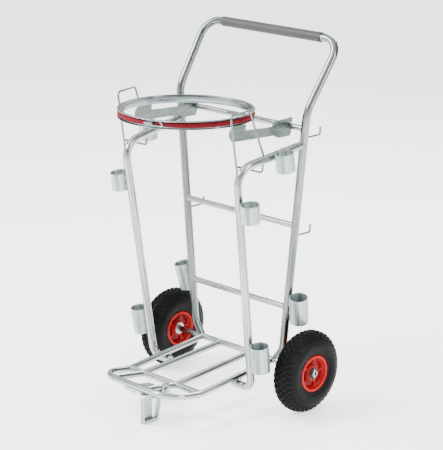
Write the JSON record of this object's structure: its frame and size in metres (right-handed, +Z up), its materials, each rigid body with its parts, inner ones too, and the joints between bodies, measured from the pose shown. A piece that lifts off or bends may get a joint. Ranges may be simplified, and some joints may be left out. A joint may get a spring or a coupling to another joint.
{
  "type": "sack and tool trolley",
  "caption": "Two-wheeled trolley with a tube frame, a sack ring held by an elastic band, a low tube platform, tool cups and hooks, and a fold-up support foot.",
  "frame": {"origin": "on the floor, under the middle of the trolley's bounding box", "axes": "+Z up; +Y towards the rear, where the push handle is; -Y towards the sack platform; +X along the wheel axle, to the right as seen from the front"},
  "size_m": [0.681, 0.5998, 1.1572],
  "materials": {
    "zinc_plate": "bright zinc plate",
    "zinc_fastener": "zinc plate",
    "red_plastic": "moulded, semi-gloss",
    "tyre_rubber": "matt",
    "grip_plastic": "soft, matt",
    "elastic_red": "satin"
  },
  "bodies": {
    "frame": {"back_frame": "zinc_plate", "top_rung": "zinc_plate", "middle_rung": "zinc_plate", "lower_rung": "zinc_plate", "front_leg_right": "zinc_plate", "front_leg_left": "zinc_plate", "handle_grip": "grip_plastic", "platform_loop": "zinc_plate", "platform_cross_bar": "zinc_plate", "platform_bar_left": "zinc_plate", "platform_bar_right": "zinc_plate", "nose_bar_left": "zinc_plate", "nose_bar_right": "zinc_plate", "axle_tube": "zinc_plate", "axle_pin_left_inner": "zinc_fastener", "axle_pin_left_outer": "zinc_fastener", "axle_pin_right_inner": "zinc_fastener", "axle_pin_right_outer": "zinc_fastener", "axle_washer_left_inner": "zinc_fastener", "axle_washer_left_outer": "zinc_fastener", "axle_washer_right_inner": "zinc_fastener", "axle_washer_right_outer": "zinc_fastener", "sack_ring": "zinc_plate", "elastic_band": "elastic_red", "band_hook": "zinc_fastener", "ring_plate_left": "zinc_plate", "ring_plate_right": "zinc_plate", "side_guide_left": "zinc_plate", "side_guide_right": "zinc_plate", "cup_lower_front_left": "zinc_plate", "cup_lower_front_right": "zinc_plate", "cup_lower_rear_left": "zinc_plate", "cup_lower_rear_right": "zinc_plate", "cup_upper_front_left": "zinc_plate", "cup_upper_front_right": "zinc_plate", "cup_upper_rear_left": "zinc_plate", "cup_upper_rear_right": "zinc_plate", "tool_hook_lower_left": "zinc_plate", "tool_hook_lower_right": "zinc_plate", "tool_hook_upper_left": "zinc_plate", "tool_hook_upper_right": "zinc_plate", "foot_bracket": "zinc_plate", "foot_pivot_bolt": "zinc_fastener", "foot_pivot_nut": "zinc_fastener", "bracket_bolt": "zinc_fastener", "bracket_nut": "zinc_fastener", "bracket_screw": "zinc_fastener"},
    "right_wheel": {"tyre_right": "tyre_rubber", "rim_right": "red_plastic", "hub_sleeve_right": "zinc_fastener"},
    "left_wheel": {"tyre_left": "tyre_rubber", "rim_left": "red_plastic", "hub_sleeve_left": "zinc_fastener"},
    "support_foot": {"support_foot": "zinc_plate"}
  },
  "joints": [
    {"name": "right_wheel_spin", "type": "hinge", "parent": "frame", "child": "right_wheel", "pos_m": [0.3, 0.15005, 0.13], "axis": [1, 0, 0], "continuous": true},
    {"name": "left_wheel_spin", "type": "hinge", "parent": "frame", "child": "left_wheel", "pos_m": [-0.3, 0.15005, 0.13], "axis": [1, 0, 0], "continuous": true},
    {"name": "foot_fold", "type": "hinge", "parent": "frame", "child": "support_foot", "pos_m": [0.042, -0.27695, 0.079], "axis": [1, 0, 0], "range_deg": [-90, 0]}
  ]
}
